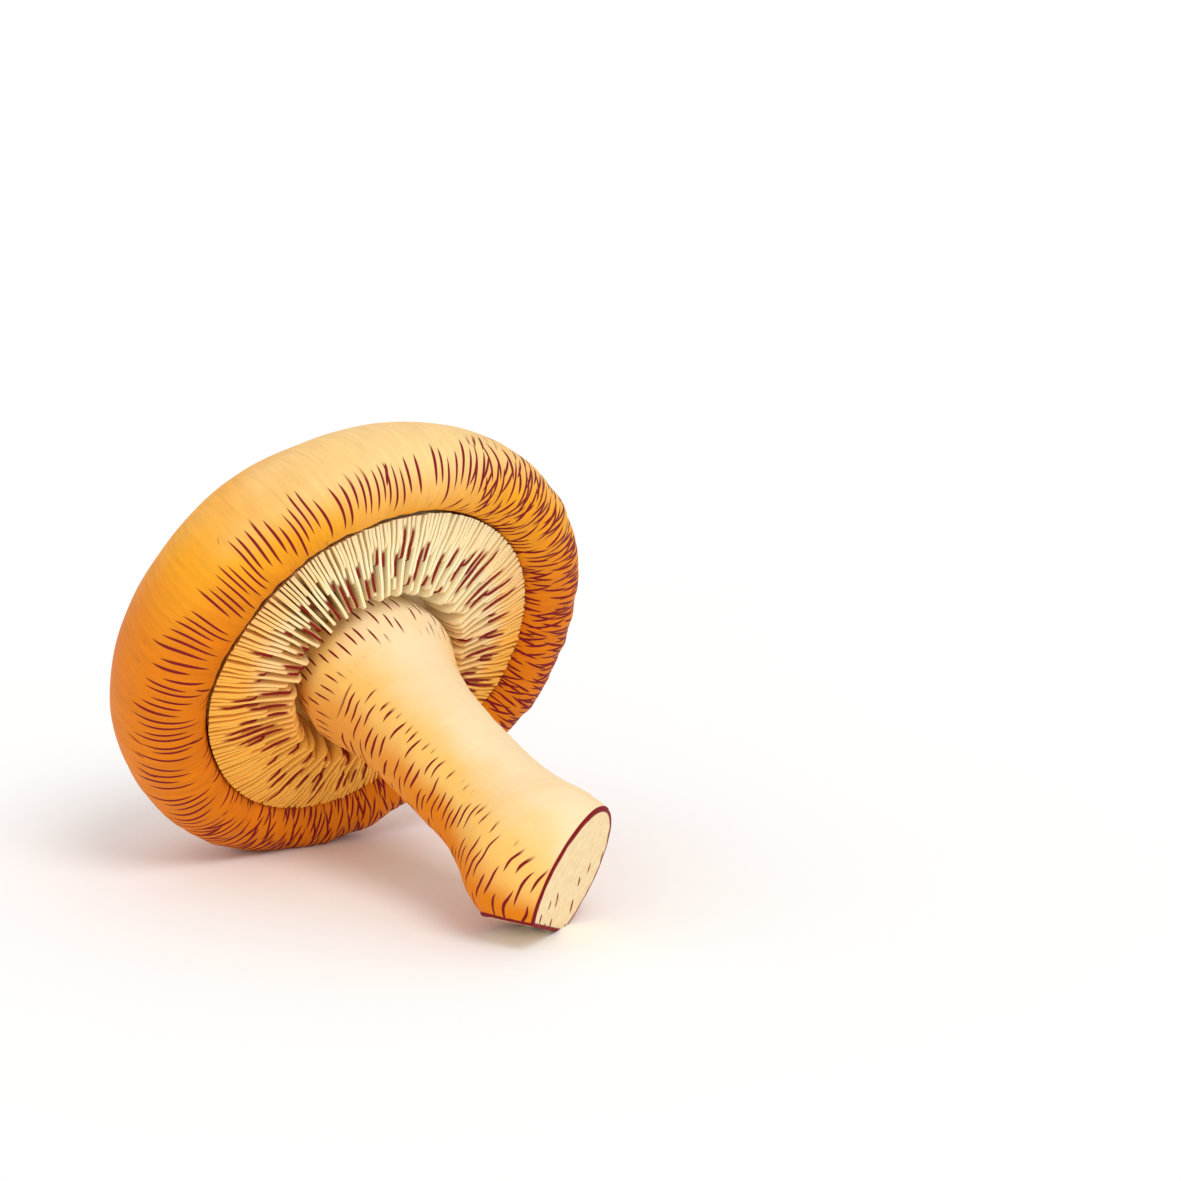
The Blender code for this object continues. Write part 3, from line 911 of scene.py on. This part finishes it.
def gill_material(settings):
    """Thin gill flesh, grown in leaves: matt, pale at the free edge and amber deep between, where the amber
    is painted shade in the gaps.

    The eye gets fine pale lines that shine through a little, dark gaps that widen inwards, painted
    light on the upper side and painted shade on the lower one, and free edges with a dark stretch
    of 3 to 7 mm here and there, painted shade that stands for the gaps between gills. The outer
    ring stays amber.
    """
    material, tree, shader = new_material("matt_gill_flesh_grown")
    point = upright_point(tree)
    depth = stored(tree, "gill_depth")
    toward_painted_shade = reach_towards(tree, point, PAINTED_SHADE_SIDE / GILL_TONE_RADIUS)
    inputs = {0: off_axis(tree, point)}
    radius = add_node(tree, "ShaderNodeVectorMath", inputs, operation="LENGTH").outputs["Value"]
    ring = share_between(tree, radius, 18.5, 22.5)
    # Painted light and shade: pale on the upper side, deep on the lower side; the outer ring is deeper still
    side_tone = math_node(tree, "MULTIPLY_ADD", ring, 0.5, toward_painted_shade)
    edge = blend(tree, share_between(tree, side_tone, -0.85, 0.55), settings.edge_painted_light, settings.edge_painted_shade_and_ring)
    # Painted shade: deep between the gills the flesh turns to the root colour, less so in the outer ring and
    # near the stem
    shift = math_node(tree, "MULTIPLY_ADD", cloud(tree, point, 0.4), 0.3, depth)
    shift = math_node(tree, "MULTIPLY_ADD", ring, -1.1, shift)
    shift = math_node(tree, "MULTIPLY_ADD", share_between(tree, radius, 13.5, 12.0), -0.6, shift)
    flesh = blend(tree, share_between(tree, shift, 0.45, 1.1), edge, settings.root)
    # Painted shade: dark stretches along the free edges of finer gills, standing for the shade in the gaps
    browned = math_node(tree, "MULTIPLY", stored(tree, "browned"), 0.05)
    painted_shade_dashes = share_between(tree, math_node(tree, "SUBTRACT", browned, depth), 0.0, 0.015)
    tree.links.new(blend(tree, painted_shade_dashes, flesh, settings.painted_shade_dash), shader.inputs["Base Color"])
    shader.inputs["Roughness"].default_value = 0.7
    shader.inputs["IOR"].default_value = 1.4
    shader.inputs["Specular IOR Level"].default_value = 0.3
    shader.inputs["Subsurface Weight"].default_value = 0.15
    shader.inputs["Subsurface Radius"].default_value = (1.0, 0.6, 0.3)
    shader.inputs["Subsurface Scale"].default_value = 0.35 * MM
    return material


def gill_flesh_profile():
    """Half section of the flesh that the gills hang from: out along its top and back below."""
    flesh_radius = BED_RADIUS - GAP
    upper = [(share * flesh_radius, -GAP) for share in reversed(BED_RINGS)]
    lower = [(radius, -GAP - GILL_FLESH) for radius, drop in reversed(upper)]
    return [(radius, bed_floor(radius) + drop) for radius, drop in upper + lower]


def gill_leaves(collection, settings):
    """Copy a strip for each gill, give it its shape, and return the copies."""
    strips = {cells: gill_strip(f"gill_strip_{cells}", cells, settings) for _, cells in GILL_CELLS}
    places = gill_places()
    stretches = shade_dash_stretches([start for start, angle in places])
    leaves = []
    for index, (start, angle) in enumerate(places):
        cells = next(cells for radius, cells in GILL_CELLS if start < radius)
        mesh = strips[cells].data.copy()
        shape_gill(mesh, start, angle, GILL_PHASE_STEP * index, stretches[index], settings)
        leaf = bpy.data.objects.new(f"gill_{index}", mesh)
        collection.objects.link(leaf)
        leaves.append(leaf)
    for strip in strips.values():
        bpy.data.objects.remove(strip, do_unlink=True)
    return leaves


class SHIITAKE_OT_gills(Operator):
    """Copy the gill strips round the stem, and join them to the flesh they hang from"""

    bl_idname = "shiitake.gills"
    bl_label = "Gills"
    bl_options = {"REGISTER", "UNDO"}

    def execute(self, context):
        """Model the gills."""
        settings = context.scene.shiitake_gills
        gills = turned("gill_leaves_and_flesh", gill_flesh_profile(), ROUND_STEPS)
        for vertex in gills.data.vertices:
            vertex.co = grown(vertex.co)
        store(gills.data, "gill_depth", [1.0] * len(gills.data.vertices))
        store(gills.data, "browned", [-1.0] * len(gills.data.vertices))
        leaves = gill_leaves(context.scene.collection, settings)
        only(gills)
        for leaf in leaves:
            leaf.select_set(True)
        bpy.ops.object.join()
        finish_piece(gills, "gills", gill_material(settings), math.radians(40.0))
        return {"FINISHED"}


def cut_normal(settings):
    """Direction that the knife cut faces."""
    return Vector((0.0, math.sin(settings.cut_slant), -math.cos(settings.cut_slant)))


def knife_cut(place, facing):
    """Cut the mesh that is being edited at a plane, close it there and keep the new edge crisp."""
    bpy.ops.mesh.select_all(action="SELECT")
    bpy.ops.mesh.bisect(plane_co=place, plane_no=facing, use_fill=True, clear_outer=True)
    bpy.ops.mesh.remove_doubles(threshold=CUT_MERGE)
    bpy.ops.transform.edge_crease(value=CUT_CREASE)


def inset_face(obj, facing, ring_widths):
    """Inset the widest face that faces one way, ring by ring, and poke its middle."""
    bpy.ops.mesh.select_mode(type="FACE")
    bpy.ops.mesh.select_all(action="DESELECT")
    bpy.ops.object.mode_set(mode="OBJECT")
    face = max(
        obj.data.polygons,
        key=lambda one: max(0.0, one.normal.dot(facing)) ** FACING_POWER * one.area,
    )
    face.select = True
    bpy.ops.object.mode_set(mode="EDIT")
    for ring_width in ring_widths:
        bpy.ops.mesh.inset(thickness=ring_width, use_even_offset=False)
    bpy.ops.mesh.poke()
    bpy.ops.mesh.select_mode(type="VERT")


def extruded_stem(settings):
    """Extrude a disc ring by ring from the top of the stem, and cut it off with the knife."""
    sides = 72
    ring_step = 1.5 * MM
    first = STEM_STATIONS[0][0] * MM
    radius, shift = stem_at(first)
    centre = HEEL * shift - Vector((0.0, 0.0, first))
    bpy.ops.object.select_all(action="DESELECT")
    bpy.ops.mesh.primitive_circle_add(vertices=sides, radius=radius, fill_type="NGON", location=centre)
    stem = bpy.context.object
    stem.name = "stem_skin_and_flesh"
    bpy.ops.object.transform_apply(location=True, rotation=True, scale=True)
    bpy.ops.object.mode_set(mode="EDIT")
    bpy.ops.mesh.select_all(action="SELECT")
    rings = round((STEM_END - first) / ring_step)
    for ring in range(1, rings + 1):
        distance = first + (STEM_END - first) * ring / rings
        next_radius, next_shift = stem_at(distance)
        next_centre = HEEL * next_shift - Vector((0.0, 0.0, distance))
        widen = next_radius / radius
        bpy.ops.mesh.extrude_region_move(TRANSFORM_OT_translate={"value": next_centre - centre})
        bpy.ops.transform.resize(value=(widen, widen, 1.0), center_override=next_centre)
        radius = next_radius
        centre = next_centre
    bpy.ops.mesh.select_all(action="SELECT")
    bpy.ops.mesh.normals_make_consistent(inside=False)
    knife_cut(Vector((0.0, 0.0, -settings.cut_distance)), cut_normal(settings))
    inset_face(stem, cut_normal(settings), CUT_RINGS)
    knife_cut(TRIM_DISTANCE * TRIM_NORMAL, TRIM_NORMAL)
    inset_face(stem, TRIM_NORMAL, TRIM_RINGS)
    bpy.ops.mesh.select_all(action="SELECT")
    bpy.ops.mesh.normals_make_consistent(inside=False)
    bpy.ops.object.mode_set(mode="OBJECT")
    return stem


def sculpt_stem(mesh, settings):
    """Raise the flutes and scales of the stem, and the grain of the cut."""
    facing = cut_normal(settings)
    cut_place = Vector((0.0, 0.0, -settings.cut_distance))
    normals = [vertex.normal.copy() for vertex in mesh.vertices]
    cuts = []
    rinds = []
    for vertex, normal in zip(mesh.vertices, normals):
        distance = -vertex.co.z
        radius, shift = stem_at(min(distance, STEM_END))
        away = vertex.co - HEEL * shift
        angle = math.atan2(away.y, away.x)
        east = math.cos(angle)
        north = math.sin(angle)
        mm_down = distance / MM
        short_of_cut = (cut_place - vertex.co).dot(facing)
        short_of_trim = TRIM_DISTANCE - vertex.co.dot(TRIM_NORMAL)
        short_of_cuts = min(short_of_cut, short_of_trim)
        on_cut = short_of_cuts < ON_CUT
        inside = max(0.0, 1.0 - math.hypot(away.x, away.y) / radius) * radius / MM
        inside = min(inside, max(short_of_cut, short_of_trim) / MM)
        if on_cut:
            grain = waves(away.x / CUT_GRAIN_WIDTH, away.y / CUT_GRAIN_WIDTH, 2.0)
            lift = CUT_GRAIN_HEIGHT * grain * smooth_step(0.0, 1.0, inside)
        else:
            flutes = side_waves(east, north, mm_down, BROAD_FLUTES)
            flutes += 0.5 * side_waves(east, north, mm_down, NARROW_FLUTES)
            scales = side_waves(east, north, mm_down, STEM_SCALES)
            lift = settings.flute * flutes + settings.scale * scales
            lift *= smooth_step(-2.0 * MM, 4.0 * MM, distance)
        vertex.co += normal * lift
        cuts.append(short_of_cuts / MM)
        rinds.append(inside)
    store(mesh, "short_of_cut", cuts)
    store(mesh, "below_skin", rinds)


def stem_tone(tree, point, height, toward_painted_shade, settings):
    """Colour of the stem's skin: painted light on the upper side and painted shade on the lower side, the
    shade deeper towards the foot.
    """
    patches = cloud(tree, point, 1.0 / 7.0, detail=1.0)
    # Painted light and shade by side, with random patches
    depth = math_node(tree, "MULTIPLY_ADD", patches, 0.5, toward_painted_shade)
    skin = blend(tree, share_between(tree, depth, -0.8, -0.1), settings.flesh_painted_light, settings.flesh_middle)
    to_foot = math_node(tree, "MULTIPLY_ADD", share_between(tree, height, -12.0, -32.0), 0.4, 0.6)
    to_deep = math_node(tree, "MULTIPLY", share_between(tree, depth, -0.05, 0.5), to_foot)
    return blend(tree, to_deep, skin, settings.flesh_painted_shade_and_cut_grain)


def stem_flecks(tree, point, angle, height, toward_painted_shade, short_of_cut):
    """Share of dark fleck on the skin: across the stem on its lower side, partly as painted shade, down its
    flared top, and round the cuts.
    """
    warp = cloud(tree, point, 1.0 / 6.0, detail=1.0)
    turns = 9
    flecks = strokes(
        tree,
        math_node(tree, "MULTIPLY_ADD", warp, 1.5, math_node(tree, "MULTIPLY", height, 1.0 / 1.35)),
        math_node(tree, "MULTIPLY", angle, turns / TURN),
        (ENDLESS, turns, 1.0),
        (0.15, 0.47, 0.35, 0.6),
        0.96,
    )
    # The flecks are the stem's scales; keeping them off its upper side paints shade below and leaves a clean
    # band of painted light above
    flecks = math_node(tree, "MULTIPLY", flecks, share_between(tree, toward_painted_shade, -0.55, -0.4))
    flecks = math_node(tree, "MULTIPLY", flecks, share_between(tree, height, -7.0, -7.8))
    columns = 46
    top_flecks = strokes(
        tree,
        math_node(tree, "MULTIPLY", angle, columns / TURN),
        math_node(tree, "MULTIPLY", height, 1.0 / 4.5),
        (columns, ENDLESS, 1.0),
        (0.11, 0.47, 0.2, 0.3),
        0.95,
    )
    top_flecks = math_node(tree, "MULTIPLY", top_flecks, share_between(tree, height, -7.0, -4.5))
    flecks = math_node(tree, "MAXIMUM", flecks, top_flecks)
    return math_node(tree, "MAXIMUM", flecks, share_between(tree, short_of_cut, 0.45, 0.35))


def cut_marks(tree, parts, toward_painted_shade):
    """Share of dark on a cut face: a few fibres, and the browned rim."""
    fibres = strokes(
        tree,
        math_node(tree, "MULTIPLY", parts.outputs["Y"], 1.0 / 2.0),
        math_node(tree, "MULTIPLY", parts.outputs["X"], 1.0 / 4.0),
        (ENDLESS, ENDLESS, 1.0),
        (0.12, 0.4, 0.3, 0.4),
        0.6,
    )
    fibres = math_node(tree, "MULTIPLY", fibres, share_between(tree, toward_painted_shade, -0.3, 0.3))
    rim = share_between(tree, stored(tree, "below_skin"), 0.65, 0.4)
    return math_node(tree, "MAXIMUM", fibres, rim)


def stem_material(settings):
    """Tough fibrous stem flesh, grown along the axis and cut with a knife.

    The eye gets a pale matt skin, with painted light on its upper side and painted shade on its
    lower one, with short dark flecks across the lower side, 0.4 mm wide and 3 to 5 mm long in rows
    1.35 mm apart, shorter ones down the flared top, and a cream cut face with a browned rim and a
    few faint fibres.
    """
    material, tree, shader = new_material("fibrous_stem_flesh_cut")
    point = upright_point(tree)
    away, angle = round_axis(tree, point)
    parts = add_node(tree, "ShaderNodeSeparateXYZ", {0: point})
    height = parts.outputs["Z"]
    toward_painted_shade = reach_towards(tree, away, PAINTED_SHADE_SIDE)
    short_of_cut = stored(tree, "short_of_cut")
    on_cut = share_between(tree, short_of_cut, 0.2, 0.15)
    skin = stem_tone(tree, point, height, toward_painted_shade, settings)
    grain = cloud(tree, point, 0.9, detail=3.0)
    cut_tone = math_node(tree, "MULTIPLY", share_between(tree, grain, 0.35, 0.75), 0.2)
    cut_flesh = blend(tree, cut_tone, settings.cut_flesh, settings.flesh_painted_shade_and_cut_grain)
    flesh = blend(tree, on_cut, skin, cut_flesh)
    flecks = stem_flecks(tree, point, angle, height, toward_painted_shade, short_of_cut)
    marks = {0: on_cut, 2: flecks, 3: cut_marks(tree, parts, toward_painted_shade)}
    dark = add_node(tree, "ShaderNodeMix", marks).outputs[0]
    tree.links.new(blend(tree, dark, flesh, settings.fleck), shader.inputs["Base Color"])
    drawn_out = vector_node(tree, "MULTIPLY", point, (1.6, 1.6, 0.16))
    fibres = cloud(tree, drawn_out, 1.0, detail=3.0)
    add_relief(tree, shader, math_node(tree, "MULTIPLY_ADD", dark, -0.6, fibres))
    shader.inputs["Roughness"].default_value = 0.66
    shader.inputs["IOR"].default_value = 1.4
    shader.inputs["Specular IOR Level"].default_value = 0.15
    shader.inputs["Subsurface Weight"].default_value = 0.12
    shader.inputs["Subsurface Radius"].default_value = (1.0, 0.6, 0.35)
    shader.inputs["Subsurface Scale"].default_value = 0.8 * MM
    return material


class SHIITAKE_OT_stem(Operator):
    """Extrude the stem, cut its foot, raise its flutes and scales, and lay it down"""

    bl_idname = "shiitake.stem"
    bl_label = "Stem"
    bl_options = {"REGISTER", "UNDO"}

    def execute(self, context):
        """Model the stem."""
        settings = context.scene.shiitake_stem
        stem = extruded_stem(settings)
        apply_modifier(stem, "SUBSURF", levels=2, render_levels=2)
        sculpt_stem(stem.data, settings)
        finish_piece(stem, "stem", stem_material(settings), math.radians(45.0))
        return {"FINISHED"}


def build_floor(settings):
    """Lay a plain round floor."""
    bpy.ops.object.select_all(action="DESELECT")
    bpy.ops.mesh.primitive_circle_add(vertices=FLOOR_SIDES, radius=FLOOR_RADIUS, fill_type="NGON")
    floor = bpy.context.object
    floor.name = "pale_floor"
    material, tree, shader = new_material("matt_painted_board")
    shader.inputs["Base Color"].default_value = (*settings.floor, 1.0)
    shader.inputs["Roughness"].default_value = 0.9
    floor.data.materials.append(material)


def build_light(name, direction, strength, softness):
    """Hang a wide, far light, so that it falls evenly on mushroom and floor."""
    bpy.ops.object.light_add(type="SUN", location=AXIS_PLACE + direction)
    light = bpy.context.object
    light.name = name
    light.data.energy = strength
    light.data.angle = softness
    light.rotation_euler = direction.to_track_quat("Z", "Y").to_euler()


def build_surround(strength):
    """Let plain white light fall from all sides."""
    world = bpy.data.worlds.new("studio")
    world.use_nodes = True
    background = world.node_tree.nodes["Background"]
    background.inputs["Color"].default_value = (1.0, 1.0, 1.0, 1.0)
    background.inputs["Strength"].default_value = strength
    return world


def build_camera(lens, right, up, toward):
    """Set up the camera so that the middle of the gill edge falls where the picture has it."""
    middle = 0.5 * PICTURE_PIXELS
    aim = AXIS_PLACE + right * (middle - AXIS_PIXEL[0]) * PIXEL + up * (AXIS_PIXEL[1] - middle) * PIXEL
    distance = lens / SENSOR_WIDTH * PICTURE_PIXELS * PIXEL
    bpy.ops.object.camera_add()
    camera = bpy.context.object
    camera.name = "camera"
    camera.data.lens = lens
    camera.data.sensor_width = SENSOR_WIDTH
    camera.data.clip_end = VIEW_REACH
    camera.matrix_world = Matrix.Translation(aim + toward * distance) @ Matrix(
        (right, up, toward)
    ).transposed().to_4x4()
    return camera


class SHIITAKE_OT_stage(Operator):
    """Lay the floor, hang the soft lights and set up the camera"""

    bl_idname = "shiitake.stage"
    bl_label = "Stage"
    bl_options = {"REGISTER", "UNDO"}

    def execute(self, context):
        """Build the stage."""
        settings = context.scene.shiitake_stage
        build_floor(settings)
        turn = settings.azimuth
        rise = settings.elevation
        right = Vector((math.cos(turn), math.sin(turn), 0.0))
        toward = Vector((math.sin(turn) * math.cos(rise), -math.cos(turn) * math.cos(rise), math.sin(rise)))
        up = toward.cross(right)
        context.scene.camera = build_camera(settings.lens, right, up, toward)
        for name, (rightwards, upwards, nearer), strength in (
            ("key_light", KEY_FROM, settings.key_strength),
            ("fill_light", FILL_FROM, settings.fill_strength),
        ):
            direction = (right * rightwards + up * upwards + toward * nearer).normalized()
            build_light(name, direction, strength, settings.softness)
        context.scene.world = build_surround(settings.surround)
        context.scene.view_settings.view_transform = "Standard"
        return {"FINISHED"}


class SHIITAKE_PT_sidebar(Panel):
    """Sizes, colours and pieces of the mushroom"""

    bl_idname = "SHIITAKE_PT_sidebar"
    bl_label = "Shiitake Mushroom"
    bl_space_type = "VIEW_3D"
    bl_region_type = "UI"
    bl_category = "Mushroom"

    def draw(self, context):
        """List each piece's settings, with its operator below them."""
        for settings, operator in (
            (context.scene.shiitake_cap, SHIITAKE_OT_cap),
            (context.scene.shiitake_gills, SHIITAKE_OT_gills),
            (context.scene.shiitake_stem, SHIITAKE_OT_stem),
            (context.scene.shiitake_stage, SHIITAKE_OT_stage),
        ):
            box = self.layout.box()
            for name in settings.__annotations__:
                box.prop(settings, name)
            box.operator(operator.bl_idname)


CLASSES = (
    CapSettings,
    GillSettings,
    StemSettings,
    StageSettings,
    SHIITAKE_OT_cap,
    SHIITAKE_OT_gills,
    SHIITAKE_OT_stem,
    SHIITAKE_OT_stage,
    SHIITAKE_PT_sidebar,
)


def register():
    """Register the classes and give the scene its settings."""
    for item in CLASSES:
        bpy.utils.register_class(item)
    bpy.types.Scene.shiitake_cap = PointerProperty(type=CapSettings)
    bpy.types.Scene.shiitake_gills = PointerProperty(type=GillSettings)
    bpy.types.Scene.shiitake_stem = PointerProperty(type=StemSettings)
    bpy.types.Scene.shiitake_stage = PointerProperty(type=StageSettings)


def unregister():
    """Take the settings and the classes away again."""
    del bpy.types.Scene.shiitake_stage
    del bpy.types.Scene.shiitake_stem
    del bpy.types.Scene.shiitake_gills
    del bpy.types.Scene.shiitake_cap
    for item in reversed(CLASSES):
        bpy.utils.unregister_class(item)


def main():
    """Model the mushroom on its stage."""
    register()
    bpy.ops.shiitake.cap()
    bpy.ops.shiitake.gills()
    bpy.ops.shiitake.stem()
    bpy.ops.shiitake.stage()


if __name__ == "__main__":
    main()
